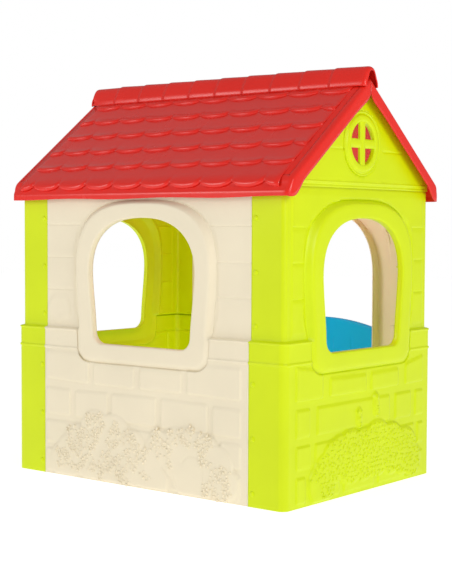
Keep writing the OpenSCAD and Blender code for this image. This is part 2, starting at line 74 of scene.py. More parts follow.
# The camera: azimuth, elevation and roll in degrees, its place in metres, and its lens
CAMERA_ANGLES = (38.928, 2.796, 0.227)
CAMERA_PLACE = Vector((2.5850, -3.1861, 0.7587))
CAMERA_LENS = 81.296


# ---------------------------------------------------------------- small helpers

def linear(code):
    """Linear colour with full alpha from an sRGB hex value."""
    parts = [int(code[i:i + 2], 16) / 255 for i in (1, 3, 5)]
    return tuple(c / 12.92 if c <= 0.04045 else ((c + 0.055) / 1.055) ** 2.4 for c in parts) + (1.0,)


def shade(colour, factor):
    """A colour made lighter or darker."""
    return tuple(min(1.0, c * factor) for c in colour[:3]) + (1.0,)


def smooth_step(t):
    """Eases from 0 to 1."""
    t = min(1.0, max(0.0, t))
    return t * t * (3 - 2 * t)


def mix(a, b, t):
    """Value a share t of the way from a to b."""
    return a + (b - a) * t


def steps(low, high, step, marks=()):
    """Grid lines from low to high, no further apart than step, through every mark."""
    stops = sorted({low, high, *(m for m in marks if low < m < high)})
    stops = [s for i, s in enumerate(stops) if i in (0, len(stops) - 1) or s - stops[i - 1] > 0.6]
    lines = [low]
    for a, b in zip(stops, stops[1:]):
        n = max(1, math.ceil((b - a) / step))
        lines += [a + (b - a) * i / n for i in range(1, n + 1)]
    return lines


def sheet(us, vs, place, cut=None, closed=False):
    """Grid of faces through the given lines, opened inside one outline, with each point put in its place."""
    bm = bmesh.new()
    columns, rows = len(us) - 1, len(vs) - 1
    bmesh.ops.create_grid(bm, x_segments=columns, y_segments=rows, size=1.0)
    for vert in bm.verts:
        i = round((vert.co.x + 1) / 2 * columns)
        j = round((vert.co.y + 1) / 2 * rows)
        vert.co = (us[i], vs[j], 0.0)
    for outline in cut or ():
        open_outline(bm, outline)
    for vert in bm.verts:
        vert.co = place(vert.co.x, vert.co.y)
    if closed:
        bmesh.ops.remove_doubles(bm, verts=bm.verts, dist=0.02)
    return bm


def inside(x, y, outline):
    """Whether a point lies inside a closed outline."""
    found = False
    for (ax, ay), (bx, by) in zip(outline, outline[1:] + outline[:1]):
        if (ay > y) != (by > y) and x < (bx - ax) * (y - ay) / (by - ay) + ax:
            found = not found
    return found


def nearest(x, y, outline):
    """Point of a closed outline nearest to a point."""
    best, found = 1e18, (x, y)
    for (ax, ay), (bx, by) in zip(outline, outline[1:] + outline[:1]):
        dx, dy = bx - ax, by - ay
        length = dx * dx + dy * dy
        t = 0.0 if length == 0 else min(1.0, max(0.0, ((x - ax) * dx + (y - ay) * dy) / length))
        px, py = ax + dx * t, ay + dy * t
        gap = (px - x) ** 2 + (py - y) ** 2
        if gap < best:
            best, found = gap, (px, py)
    return found


def open_outline(bm, outline):
    """Deletes the faces inside an outline and draws the rim on to it."""
    x0, x1 = min(p[0] for p in outline), max(p[0] for p in outline)
    y0, y1 = min(p[1] for p in outline), max(p[1] for p in outline)
    gone = []
    for face in bm.faces:
        c = face.calc_center_median()
        if x0 < c.x < x1 and y0 < c.y < y1 and inside(c.x, c.y, outline):
            gone.append(face)
    rim = {v for f in gone for v in f.verts}
    bmesh.ops.delete(bm, geom=gone, context="FACES")
    for vert in rim:
        if vert.is_valid:
            x, y = nearest(vert.co.x, vert.co.y, outline)
            vert.co = (x, y, 0.0)


def block(bm, x0, x1, y0, y1, z0, z1):
    """Plain closed block between six planes."""
    centre = Vector(((x0 + x1) / 2, (y0 + y1) / 2, (z0 + z1) / 2))
    size = Matrix.Diagonal((x1 - x0, y1 - y0, z1 - z0, 1.0))
    bmesh.ops.create_cube(bm, size=1.0, matrix=Matrix.Translation(centre) @ size)


def peg(bm, centre, axis, radius, length, top=None, segments=24):
    """Closed round peg about a centre, along an axis."""
    turn = Vector((0, 0, 1)).rotation_difference(Vector(axis)).to_matrix().to_4x4()
    bmesh.ops.create_cone(bm, cap_ends=True, segments=segments, radius1=radius,
                          radius2=radius if top is None else top, depth=length,
                          matrix=Matrix.Translation(Vector(centre)) @ turn)


def finish_piece(name, bm, material, body="house", replaces=(), skin=0.0, sharp=None, turned=False):
    """Makes an object of a shape drawn in millimetres and tells the frame what it is."""
    if turned:
        bmesh.ops.rotate(bm, verts=bm.verts, cent=(0, 0, 0), matrix=Matrix.Rotation(math.pi, 3, "Z"))
    bmesh.ops.scale(bm, vec=(MM, MM, MM), verts=bm.verts)
    mesh = bpy.data.meshes.new(name)
    bm.to_mesh(mesh)
    bm.free()
    mesh.polygons.foreach_set("use_smooth", [True] * len(mesh.polygons))
    if sharp:
        mesh.set_sharp_from_angle(angle=math.radians(sharp))
    piece = bpy.data.objects.new(name, mesh)
    bpy.context.scene.collection.objects.link(piece)
    mesh.materials.append(material)
    if skin:
        wall = piece.modifiers.new("skin", "SOLIDIFY")
        wall.thickness = skin * MM
        wall.offset = -1.0
    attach(piece, body)
    if replaces:
        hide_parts(*replaces)
    return piece


# ---------------------------------------------------------------- materials

def add_node(tree, kind, links=None, **settings):
    """Adds one node, sets its fields and sockets, and links what feeds it."""
    node = tree.nodes.new(kind)
    for key, value in settings.items():
        if hasattr(node, key):
            setattr(node, key, value)
        else:
            node.inputs[key.replace("_", " ")].default_value = value
    for socket, source in (links or {}).items():
        tree.links.new(source, node.inputs[socket])
    return node


def moulded_polyethylene(name, colour, roughness=0.38, dull=0.93, bright=1.05, grain=0.10, cloud_mm=160.0,
                         grain_mm=2.2, shine=0.28):
    """Rotation-moulded or blow-moulded polyethylene: a waxy satin skin, slightly cloudy in colour,
    with a fine orange-peel grain from the mould that breaks up its highlights."""
    material = bpy.data.materials.new(name)
    material.use_nodes = True
    tree = material.node_tree
    tree.nodes.clear()
    place = add_node(tree, "ShaderNodeTexCoord")
    clouds = add_node(tree, "ShaderNodeTexNoise", {"Vector": place.outputs["Object"]},
                      Scale=1000.0 / cloud_mm, Detail=3.0, Roughness=0.5)
    tint = add_node(tree, "ShaderNodeMix", {"Factor": clouds.outputs["Fac"]}, data_type="RGBA")
    tint.inputs["A"].default_value = shade(colour, dull)
    tint.inputs["B"].default_value = shade(colour, bright)
    peel = add_node(tree, "ShaderNodeTexNoise", {"Vector": place.outputs["Object"]},
                    Scale=1000.0 / grain_mm, Detail=2.0, Roughness=0.55)
    swell = add_node(tree, "ShaderNodeTexNoise", {"Vector": place.outputs["Object"]},
                     Scale=1000.0 / 38.0, Detail=1.0, Roughness=0.4)
    low = add_node(tree, "ShaderNodeBump", {"Height": swell.outputs["Fac"]}, Strength=0.12, Distance=0.004)
    bump = add_node(tree, "ShaderNodeBump", {"Height": peel.outputs["Fac"], "Normal": low.outputs["Normal"]},
                    Strength=grain, Distance=0.0006)
    polish = add_node(tree, "ShaderNodeMapRange", {"Value": clouds.outputs["Fac"]})
    polish.inputs["To Min"].default_value = roughness - 0.05
    polish.inputs["To Max"].default_value = roughness + 0.07
    shader = add_node(tree, "ShaderNodeBsdfPrincipled", {
        "Base Color": tint.outputs["Result"], "Roughness": polish.outputs["Result"], "Normal": bump.outputs["Normal"]})
    shader.inputs["IOR"].default_value = 1.5
    shader.inputs["Specular IOR Level"].default_value = shine
    out = add_node(tree, "ShaderNodeOutputMaterial")
    tree.links.new(shader.outputs["BSDF"], out.inputs["Surface"])
    return material


def zinc_plated_steel(name):
    """Bright zinc plating on turned steel: a grey metal, a little blotchy, with fine turning marks."""
    material = bpy.data.materials.new(name)
    material.use_nodes = True
    tree = material.node_tree
    tree.nodes.clear()
    place = add_node(tree, "ShaderNodeTexCoord")
    spangle = add_node(tree, "ShaderNodeTexNoise", {"Vector": place.outputs["Object"]},
                       Scale=1000.0 / 6.0, Detail=2.0)
    tint = add_node(tree, "ShaderNodeMix", {"Factor": spangle.outputs["Fac"]}, data_type="RGBA")
    tint.inputs["A"].default_value = linear("#A9ADB2")
    tint.inputs["B"].default_value = linear("#D0D3D6")
    turning = add_node(tree, "ShaderNodeTexWave", {"Vector": place.outputs["Object"]},
                       Scale=1000.0 / 1.5, Distortion=1.0)
    bump = add_node(tree, "ShaderNodeBump", {"Height": turning.outputs["Fac"]}, Strength=0.08, Distance=0.0002)
    shader = add_node(tree, "ShaderNodeBsdfPrincipled",
                      {"Base Color": tint.outputs["Result"], "Normal": bump.outputs["Normal"]})
    shader.inputs["Metallic"].default_value = 1.0
    shader.inputs["Roughness"].default_value = 0.34
    out = add_node(tree, "ShaderNodeOutputMaterial")
    tree.links.new(shader.outputs["BSDF"], out.inputs["Surface"])
    return material


def white_paper(glow):
    """White studio paper on a light table: lit a little from below, so that it stays white out to its far edge."""
    material = bpy.data.materials.new("white studio paper")
    material.use_nodes = True
    shader = material.node_tree.nodes["Principled BSDF"]
    shader.inputs["Base Color"].default_value = (0.5, 0.5, 0.5, 1.0)
    shader.inputs["Roughness"].default_value = 0.9
    shader.inputs["Emission Color"].default_value = (1.0, 1.0, 1.0, 1.0)
    shader.inputs["Emission Strength"].default_value = glow
    return material


def plastic(which):
    """Material of one of the house's plastics, made on first use."""
    look = bpy.context.scene.playhouse
    colours = {"lime": look.lime, "cream": look.cream, "red": look.red, "blue": look.blue}
    name = which + " polyethylene"
    if name not in bpy.data.materials:
        roughness, shine = {"lime": (0.36, 0.28), "cream": (0.46, 0.28),
                            "red": (0.25, 0.40), "blue": (0.36, 0.25)}[which]
        moulded_polyethylene(name, tuple(colours[which]) + (1.0,), roughness=roughness, shine=shine)
    return bpy.data.materials[name]


# ---------------------------------------------------------------- relief of the walls

def stone_height(x, z, stones, out, edge=5.0, corner=9.0):
    """Height of a wall's stones at one point. A stone is its left and right side,
    the height of its foot at the left and right, and of its head at the left and right."""
    best = 0.0
    for left, right, foot_l, foot_r, head_l, head_r in stones:
        if not left < x < right:
            continue
        t = (x - left) / (right - left)
        foot, head = mix(foot_l, foot_r, t), mix(head_l, head_r, t)
        if not foot < z < head:
            continue
        qx = max(left - x, x - right) + corner
        qz = max(foot - z, z - head) + corner
        gap = math.hypot(max(qx, 0), max(qz, 0)) + min(max(qx, qz), 0) - corner
        if gap < 0:
            best = max(best, out * math.sin(math.pi / 2 * min(1.0, -gap / edge)))
    return best


def bush_height(x, z, lobes, rim=6.0, tall=4.0, crown=2.6):
    """Height of a clipped bush: overlapping round lobes, each later one lying before the others."""
    best = 0.0
    for layer, (cx, cz, radius) in enumerate(lobes):
        gap = math.hypot(x - cx, z - cz)
        if gap < radius:
            edge = min(1.0, (radius - gap) / rim)
            best = max(best, tall * math.sin(math.pi / 2 * edge) + crown * (1 - (gap / radius) ** 2) + 0.25 * layer)
    return best


def groove(x, z, lines, depth, half=2.6, fade=10.0):
    """Depth of incised joint lines: each is its height, where it starts and where it ends."""
    best = 0.0
    for height, start, end in lines:
        if abs(z - height) < half and start - fade < x < end + fade:
            along = min(1.0, (x - start + fade) / fade, (end + fade - x) / fade)
            best = max(best, depth * along * math.cos(math.pi / 2 * abs(z - height) / half))
    return best


def belt_profile(z):
    """How far the wall stands out at one height: lower face, belt with its two beads, upper face."""
    out = -INSET * smooth_step((z - 450.5) / 4.5)
    for low in (BELT_LOW, BELT_TOP - BEAD_HEIGHT):
        t = (z - low) / BEAD_HEIGHT * 2 - 1
        if -1 < t < 1:
            fade = 1.0 if z < 449.5 else 1.6 * (1 - smooth_step((z - 449.5) / 6)) * 0.62
            out += BEAD_OUT * math.sqrt(1 - t * t) * fade
    return out


BELT_MARKS = (386.5, 388, 390, 392.5, 395, 397, 398.5, 443.5, 445, 447, 449.5, 452, 454, 455.5, 457)


def arch_point(angle, half, spring, crown, power):
    """Point of an arch over its springing; a higher power gives squarer shoulders."""
    c, s = math.cos(angle), math.sin(angle)
    return (half * math.copysign(abs(c) ** (2 / power), c), spring + (crown - spring) * max(s, 0.0) ** (2 / power))


def opening_outline(half, foot, sill, spring, crown, corner, power=2.4, fine=6.0):
    """Closed outline of an arched opening, the same number of points whatever its size.
    Runs from the right springing over the crown and down round the foot."""
    points = [arch_point(math.pi * i / 72, half, spring, crown, power) for i in range(73)]
    points += [(-mix(half, foot, smooth_step(i / 36) * 0.5 + i / 72), mix(spring, sill + corner, i / 36))
               for i in range(1, 36)]
    points += [(-foot + corner - corner * math.cos(math.pi / 2 * i / 10),
                sill + corner - corner * math.sin(math.pi / 2 * i / 10)) for i in range(11)]
    points += [(mix(-foot + corner, foot - corner, i / 56), sill) for i in range(1, 56)]
    points += [(foot - corner + corner * math.sin(math.pi / 2 * i / 10),
                sill + corner - corner * math.cos(math.pi / 2 * i / 10)) for i in range(11)]
    points += [(mix(half, foot, smooth_step(1 - i / 36) * 0.5 + (1 - i / 36) / 2), mix(sill + corner, spring, i / 36))
               for i in range(1, 36)]
    return points


WINDOW_IN = opening_outline(206, 190, 412, 622, 786, 38)
WINDOW_OUT = opening_outline(279, 262, 351, 622, 843, 46, power=2.9)
DOOR_IN = opening_outline(195, 195, 48, 600, 812, 1.0)
DOOR_OUT = opening_outline(263, 263, 0, 600, 880, 1.0, power=2.5)


def outline_between(inner, outer, share):
    """Outline that lies a share of the way from an inner one to an outer one."""
    return [(mix(a[0], b[0], share), mix(a[1], b[1], share)) for a, b in zip(inner, outer)]


def surround_profile(face, back):
    """Section of a raised surround from its foot on the wall to the back of its reveal:
    the share of its width from the opening, and its height."""
    slope = [(1.0 - 0.32 * i / 8, None, smooth_step(i / 8)) for i in range(9)]
    flat = [(0.55, face + 0.2, 1), (0.40, face + 0.3, 1), (0.25, face + 0.3, 1), (0.13, face + 0.1, 1)]
    rounded = [(0.075 * (1 - math.sin(math.pi / 2 * i / 5)), face - 6.0 * (1 - math.cos(math.pi / 2 * i / 5)), 1)
               for i in range(6)]
    reveal = [(0.0, mix(face - 6.0, back, i / 3), 1) for i in range(1, 4)]
    return slope + flat + rounded + reveal


def surround_sheet(inner, outer, face, back, foot, joints=None, head=None):
    """Raised ring round an opening; foot gives the height of the wall beside it."""
    section = surround_profile(face, back)
    count = len(inner)

    def place(u, v):
        share, height, rise = section[int(round(v))]
        i = int(round(u)) % count
        x, z = mix(inner[i][0], outer[i][0], share), mix(inner[i][1], outer[i][1], share)
        if head is not None:
            z = min(z, head - 0.2 * (1 - share))
        if height is None:
            height = mix(foot(x, z), face, rise)
        if joints and 0.02 < share:
            height -= joints(x, z, i, share)
        return Vector((x, z, height))
    return sheet(list(range(count + 1)), list(range(len(section))), place, closed=True)


def stand_up(bm, side, centre=0.0):
    """Turns a flat relief (across, up, out) on to a wall of the house."""
    for vert in bm.verts:
        x, z, out = vert.co
        x += centre
        if side == "window":
            vert.co = (x, -HALF_DEPTH - out, z)
        elif side == "door":
            vert.co = (-x, HALF_DEPTH + out, z)
        else:
            vert.co = (HALF_LENGTH + out, x, z)
    return bm


SURROUND_FACE = 5.0
WINDOW_BACK = -15.0

# Stones: left and right side, height of the foot at the left and right, of the head at the left and right
WINDOW_STONES = (
    (-393, -207, 296, 289, 381, 378), (-189, -23, 290, 288, 352, 351), (-3, 160, 289, 290, 351, 352),
    (178, 374, 290, 287, 372, 378),
    (-393, -286, 187, 185, 268, 266), (-266, -129, 184, 186, 265, 268), (-115, 63, 186, 183, 268, 270),
    (80, 256, 184, 183, 270, 267), (272, 374, 183, 182, 264, 262),
    (-393, -206, 97, 95, 167, 168), (-188, -30, 98, 98, 168, 168), (-12, 150, 98, 98, 168, 168),
    (168, 284, 98, 97, 168, 168), (300, 374, 96, 95, 168, 166),
    (-393, -290, 8, 8, 80, 80), (-272, -110, 8, 8, 80, 80), (-92, 60, 8, 8, 80, 80), (78, 240, 8, 8, 80, 80),
    (258, 374, 8, 8, 80, 78),
)
# The lobes of a bush: the place of each one's centre and its radius
WINDOW_LEFT_BUSH = (
    (-308, 50, 62), (-300, 96, 34), (-258, 118, 46), (-176, 128, 70), (-176, 150, 66), (-110, 120, 88),
    (-200, 70, 70), (-60, 110, 64), (-28, 120, 50), (-120, 62, 74), (28, 62, 62), (-40, 60, 64), (66, 30, 48),
)
WINDOW_RIGHT_BUSH = (
    (78, 118, 56), (74, 140, 42), (150, 118, 78), (182, 150, 50), (128, 148, 38), (248, 136, 48),
    (226, 148, 40), (286, 92, 66), (318, 52, 52), (210, 60, 80),
)
# The joints of the long stones: the height of each, where it starts and where it ends
WINDOW_JOINTS = ((766, -393, -262), (667, -393, -290), (569, -393, -292), (462, -393, -290),
                 (763, 244, 396), (663, 280, 396), (566, 284, 396), (468, 276, 396))
GABLE_STONES = (
    (-331, -203, 290, 290, 386, 366), (-170, 15, 291, 290, 342, 340), (39, 190, 290, 291, 341, 342),
    (228, 331, 290, 292, 352, 372),
    (-330, -264, 190, 192, 268, 268), (-231, 142, 190, 192, 268, 266), (172, 262, 190, 192, 268, 268),
    (286, 333, 190, 190, 268, 266),
    (-329, -262, 104, 104, 168, 168), (-240, -80, 104, 104, 168, 168), (-60, 90, 104, 104, 168, 168),
    (110, 282, 104, 104, 168, 168), (299, 335, 104, 104, 168, 168),
    (-328, -284, 12, 12, 82, 82), (-262, -120, 12, 12, 82, 82), (-100, 60, 12, 12, 82, 82), (80, 230, 12, 12, 82, 82),
    (250, 334, 12, 12, 82, 82),
)
GABLE_BUSH = ((-208, 50, 64), (-196, 88, 50), (-150, 106, 64), (-120, 132, 48), (-66, 110, 80), (0, 108, 78),
              (-26, 232, 15), (-26, 214, 16), (-25, 199, 14), (65, 266, 15), (64, 246, 17), (65, 226, 15),
              (70, 118, 84), (146, 108, 78), (220, 92, 72), (262, 60, 52))
GABLE_JOINTS = ((760, -331, -262), (663, -331, -286), (565, -331, -286), (464, -331, -276),
                (760, 280, 340), (663, 292, 340), (566, 292, 340), (466, 290, 340))


def recess(x, z, amount, start=462.0, end=800.0):
    """Shallow channel between the stones of the upper wall and a window's surround."""
    if not start - 3 < z < end:
        return 0.0
    edge = mix(266, 281, smooth_step((z - 468) / 60)) if z < 670 else None
    if edge is None:
        angle = min(1.0, (z - 622) / (856 - 622))
        edge = 283 * (1 - angle ** 2.9) ** (1 / 2.9)
    inner = smooth_step((edge - abs(x)) / 3.0 + 0.5)
    return amount * inner * smooth_step((z - start) / 4) * smooth_step((end - z) / 40)


LEAF_X, LEAF_Z, LEAF_RADIUS = 204, 78, 40   # bent leaf low in the right bush
PATCH_X, PATCH_Z = -345, 512                # lobed patch beside the window


def window_relief(x, z):
    """Face of the window wall: stones and bushes below, the belt, long stones above."""
    out = belt_profile(z)
    if z < BELT_LOW + 4:
        stones = stone_height(x, z, WINDOW_STONES, 3.6)
        bushes = max(bush_height(x, z, WINDOW_LEFT_BUSH), bush_height(x, z, WINDOW_RIGHT_BUSH))
        if bushes and z > 4:
            hollow = 0.0
            r = math.hypot(x - LEAF_X, max(z - LEAF_Z, 0))
            if abs(r - LEAF_RADIUS) < 3 and z < 120 and x > 166:
                hollow = 1.6 * math.cos(math.pi / 2 * abs(r - LEAF_RADIUS) / 3)
            out += max(stones, 1.5 + bushes * smooth_step((z - 4) / 5)) - hollow
        else:
            out += stones
    elif z > 457:
        out -= groove(x, z, WINDOW_JOINTS, 1.3)
        out -= recess(x, z, 1.8)
        gap = math.hypot((x - PATCH_X) / 50, (z - PATCH_Z) / 43)
        lump = gap + 0.07 * math.sin(5 * math.atan2(z - PATCH_Z, x - PATCH_X) + 0.8)
        if lump < 1.0:
            out += 2.6 * math.sin(math.pi / 2 * min(1.0, (1.0 - lump) / 0.10))
    else:
        for centre in (-342, 338):
            r = math.hypot(x - centre, z - 421)
            if r < 5:
                out -= 1.2 * (1 - (r / 5) ** 2)
    return out


def gable_relief(y, z):
    """Face of a gable wall: stones and a flowering bush below, the belt, long stones above."""
    out = belt_profile(z)
    if z < BELT_LOW + 2:
        if abs(y) < 340:
            stones = stone_height(y, z, GABLE_STONES, 3.6, edge=4.0, corner=6.0)
            bushes = bush_height(y, z, GABLE_BUSH, rim=5.0, tall=4.5, crown=2.0)
            if bushes and z > 4:
                stones = max(stones, 1.0 + bushes * smooth_step((z - 4) / 5))
            out += stones
    elif z > 457 and abs(y) < 356:
        edge = smooth_step((340 - abs(y)) / 4)
        out += 2.0 * edge * smooth_step((z - 460) / 3) * smooth_step((862 - z) / 3)
        out -= groove(y, z, GABLE_JOINTS, 2.2, half=3.0, fade=2.0)
        out -= recess(y, z, 4.6)
    return out


def door_relief(x, z):
    """Face of the door wall; x runs to the right as seen from outside."""
    out = belt_profile(z)
    if z < BELT_LOW + 4:
        out += stone_height(-x, z, DOOR_STONES, 3.6)
    elif z > 457:
        out -= groove(-x, z, DOOR_JOINTS, 1.3)
    return out


DOOR_STONES = (
    (-394, -300, 290, 290, 381, 378), (-283, -166, 290, 289, 378, 380),
    (-394, -242, 187, 185, 268, 266), (-224, -166, 184, 186, 265, 268),
    (-394, -309, 97, 95, 167, 168), (-291, -166, 98, 98, 168, 168),
    (-394, -226, 8, 8, 80, 80), (-208, -166, 8, 8, 80, 80),
)
DOOR_JOINTS = ((766, -393, -150), (667, -393, -166), (569, -393, -166), (468, -393, -166))


def edge_marks(stones):
    """Grid lines that the sides of the stones need."""
    marks = set()
    for left, right, *_ in stones:
        marks.update((left, left + 2, left + 5, right - 5, right - 2, right))
    return marks


def row_lines():
    """Heights of the grid lines of a wall: fine where there is relief."""
    marks = [*BELT_MARKS, 0, 2, 287, 289, 291, 293, 296]
    for height in (182, 184, 187, 190, 264, 268, 95, 98, 101, 165, 168, 8, 11, 77, 80, 350, 353):
        marks.append(height)
    lower = steps(0, 300, 4.2, marks)
    middle = steps(300, 470, 5.0, marks)
    joints = [h + d for h in (566, 568, 664, 667, 762, 766) for d in (-3, -1.4, 0, 1.4, 3)]
    upper = steps(470, SEAM_Z, 9.0, joints)
    return lower[:-1] + middle[:-1] + upper


def side_wall_sheet(side):
    """Outer face of a side wall, opened for its window or doorway."""
    seam = RETURN_SEAM - 0.3
    rows = row_lines() + [880.0, SIDE_TOP]
    if side == "window":
        columns = steps(-seam, seam, 4.4, edge_marks(WINDOW_STONES))
        hole = outline_between(WINDOW_IN, WINDOW_OUT, 0.93)
        relief = window_relief
    else:
        columns = steps(-seam, seam, 5.0, [-m for m in edge_marks(DOOR_STONES)])
        hole = [(x - DOOR_X, z if z > 1 else -5) for x, z in outline_between(DOOR_IN, DOOR_OUT, 0.9)]
        hole = [(x, min(z, EAVE_LOW - 4)) for x, z in hole]
        relief = door_relief

    def place(x, z):
        return Vector((x, z, relief(x, z)))
    return stand_up(sheet(columns, rows, place, [hole]), side)


def flange_blocks(bm, side):
    """Inward flanges and screw bosses of a side wall, drawn for the window wall."""
    foot_gap = 1.5
    spans = [(-RETURN_SEAM, RETURN_SEAM)]
    if side == "door":
        spans = [(-RETURN_SEAM, DOOR_X - DOOR_HALF - 8), (DOOR_X + DOOR_HALF + 8, RETURN_SEAM)]
    for x0, x1 in spans:
        block(bm, x0, x1, -HALF_DEPTH + foot_gap, -HALF_DEPTH + 26, 0, SKIN)
    up = -HALF_DEPTH + INSET
    block(bm, -RETURN_SEAM, RETURN_SEAM, up + foot_gap, up + 26, SIDE_TOP - SKIN, SIDE_TOP)
    for s in (-1, 1):
        inner, outer = s * (RETURN_SEAM - 16), s * (RETURN_SEAM + 36)
        x0, x1 = min(inner, outer), max(inner, outer)
        block(bm, x0, x1, -HALF_DEPTH + 3.1, -HALF_DEPTH + 6, 0.2, BELT_TOP - 4)
        block(bm, x0, x1, up + 3.1, up + 6, BELT_TOP, SIDE_TOP - 0.2)
        for z in (37, 186, 335):
            peg(bm, (s * 412, -HALF_DEPTH + 10.2, z), (0, 1, 0), 6, 8.5)
        for z in (492, 638, 785):
            peg(bm, (s * 412, up + 10.2, z), (0, 1, 0), 6, 8.5)
    if side == "door":
        bmesh.ops.scale(bm, vec=(1, -1, 1), verts=bm.verts)
        bmesh.ops.recalc_face_normals(bm, faces=bm.faces)


# ---------------------------------------------------------------- gable wall in plan

FACE_HALF, ARC_END, PATH_END = 360.0, 392.0, 500.0


def gable_plan(u, upper):
    """Point of a gable wall's plan and the direction out of the wall there. The face runs along Y,
    then each corner turns into a return."""
    radius = 13.0 if upper else 22.0
    half_l = HALF_LENGTH - (INSET if upper else 0)
    half_d = HALF_DEPTH - (INSET if upper else 0)
    flat = half_d - radius
    s, a = (1 if u >= 0 else -1), abs(u)
    start = min(FACE_HALF, flat)
    if a <= start:
        return Vector((half_l, u)), Vector((1.0, 0.0))
    if a <= ARC_END:
        turn = math.pi / 2 * (a - start) / (ARC_END - start)
        way = Vector((math.cos(turn), s * math.sin(turn)))
        return Vector((half_l - radius, s * flat)) + way * radius, way
    t = (a - ARC_END) / (PATH_END - ARC_END)
    return Vector((mix(half_l - radius, RETURN_SEAM, t), s * half_d)), Vector((0.0, float(s)))


def gable_wall_sheet():
    """Outer face of a gable wall: its face, both rounded corners and both returns in one skin."""
    marks = edge_marks(GABLE_STONES)
    marks.update((-340, 340, -FACE_HALF, FACE_HALF, -ARC_END, ARC_END, -356, 356))
    columns = steps(-PATH_END, PATH_END, 4.6, marks)
    hole = outline_between(WINDOW_IN, WINDOW_OUT, 0.93)

    def place(u, z):
        upper = smooth_step((z - 450.5) / 4.5)
        low_p, low_n = gable_plan(u, False)
        up_p, up_n = gable_plan(u, True)
        out = gable_relief(u, z) + INSET * upper
        point = low_p.lerp(up_p, upper) + low_n.lerp(up_n, upper).normalized() * out
        return Vector((point.x, point.y, z))
    return sheet(columns, row_lines(), place, [hole])


def gable_flanges(bm):
    """Foot flange and top flange of a gable wall."""
    inner = HALF_LENGTH
    block(bm, inner - 26, inner - 1.5, -HALF_DEPTH + 40, HALF_DEPTH - 40, 0, SKIN)
    up = HALF_LENGTH - INSET
    block(bm, up - 26, up - 1.5, -HALF_DEPTH + 51, HALF_DEPTH - 51, SEAM_Z - SKIN, SEAM_Z)


# ---------------------------------------------------------------- blossoms

def add_blossom(bm, x, z, out, petals, size, turn, tall=3.4):
    """Small raised blossom: rounded petals in a ring."""
    for i in range(petals):
        a = turn + 2 * math.pi * i / petals
        centre = Vector((x + 0.62 * size * math.cos(a), z + 0.62 * size * math.sin(a), out))
        add_bump(bm, centre, 0.42 * size, 0.36 * size, tall, a)


def add_bump(bm, centre, length, width, tall, turn):
    """Low rounded bump lying flat on a wall."""
    shape = Matrix.Translation(centre) @ Matrix.Rotation(turn, 4, "Z") @ Matrix.Diagonal((length, width, tall, 1.0))
    bmesh.ops.create_icosphere(bm, subdivisions=1, radius=1.0, matrix=shape)


def scatter(lobes, spacing, seed, keep):
    """Evenly unsettled places inside a bush, kept where keep says."""
    places, row, z = [], 0, 14.0
    while z < 300:
        x = -400.0 + (row % 2) * spacing / 2
        while x < 400:
            jx = math.sin(12.9898 * (x + seed) + 78.233 * z) * 43758.5453 % 1.0 - 0.5
            jz = math.sin(39.3460 * (x + seed) + 11.135 * z) * 24634.6345 % 1.0 - 0.5
            px, pz = x + jx * spacing * 0.6, z + jz * spacing * 0.6
            depth = max((r - math.hypot(px - cx, pz - cz) for cx, cz, r in lobes), default=-1)
            if depth > 5 and keep(px, pz):
                places.append((px, pz, (jx + 0.5) * 2 * math.pi))
            x += spacing
        z += spacing * 0.86
        row += 1
    return places


def window_blossoms(size):
    """Blossoms of the window wall's two bushes, in clusters with smooth leaves between."""
    bm = bmesh.new()
    clusters = ((-180, 178, 38), (-262, 132, 32), (-282, 86, 30), (-236, 76, 26), (-310, 60, 34), (-206, 120, 44),
                (-120, 120, 24), (-140, 70, 24), (-96, 62, 36), (-168, 34, 30), (-84, 150, 30), (-30, 128, 34),
                (-30, 72, 24), (20, 84, 30), (24, 40, 22), (-250, 40, 26), (-58, 30, 26))
    right = ((76, 142, 36), (128, 156, 34), (184, 164, 40), (246, 150, 38), (250, 110, 26), (302, 60, 40),
             (316, 24, 30), (112, 96, 22), (278, 26, 30), (70, 24, 24))

    def near(groups):
        return lambda x, z: any(math.hypot(x - cx, z - cz) < r for cx, cz, r in groups)
    for lobes, groups, seed in ((WINDOW_LEFT_BUSH, clusters, 3.0), (WINDOW_RIGHT_BUSH, right, 7.0)):
        for x, z, turn in scatter(lobes, size * 1.12, seed, near(groups)):
            add_blossom(bm, x, z, window_relief(x, z) - 0.6, 3 + int(turn) % 3, size * 0.6, turn, 4.2)
    return stand_up(bm, "window")


def gable_blossoms(size):
    """Petals of a gable wall's bush, thick over all of it."""
    bm = bmesh.new()
    for x, z, turn in scatter(GABLE_BUSH, size * 1.05, 5.0, lambda x, z: not (x < -225 and z < 60)):
        add_bump(bm, Vector((x, z, gable_relief(x, z) - 0.5)), size * 0.42, size * 0.26, 3.0, turn)
    return stand_up(bm, "gable")


# ---------------------------------------------------------------- roof

def on_slope(x, u, v):
    """Point of the window-side slope: along the ridge, up from the eave, out from the slope.
    Near the eave the slope bends down to meet the eave board."""
    angle = PITCH
    y, z = -EAVE_Y + u * math.cos(PITCH), EAVE_TOP + u * math.sin(PITCH)
    if u < BEND_U:
        turn = min((BEND_U - u) / BEND_RADIUS, math.pi / 2 - PITCH)
        rest = BEND_U - u - turn * BEND_RADIUS
        angle = PITCH + turn
        y = BEND_Y - BEND_RADIUS * (math.sin(angle) - math.sin(PITCH))
        z = BEND_Z - BEND_RADIUS * (math.cos(PITCH) - math.cos(angle)) - rest
    return Vector((x, y - v * math.sin(angle), z + v * math.cos(angle)))


def slope_z(y):
    """Height of the slope's face over one distance from the ridge, bent down at the eave."""
    over = abs(y) + BEND_Y
    if over <= 0:
        return APEX_Z - (APEX_Z - EAVE_TOP) / EAVE_Y * abs(y)
    reach = BEND_RADIUS * math.sin(PITCH) + over
    return BEND_Z - BEND_RADIUS * math.cos(PITCH) + math.sqrt(max(0.0, BEND_RADIUS ** 2 - reach ** 2))


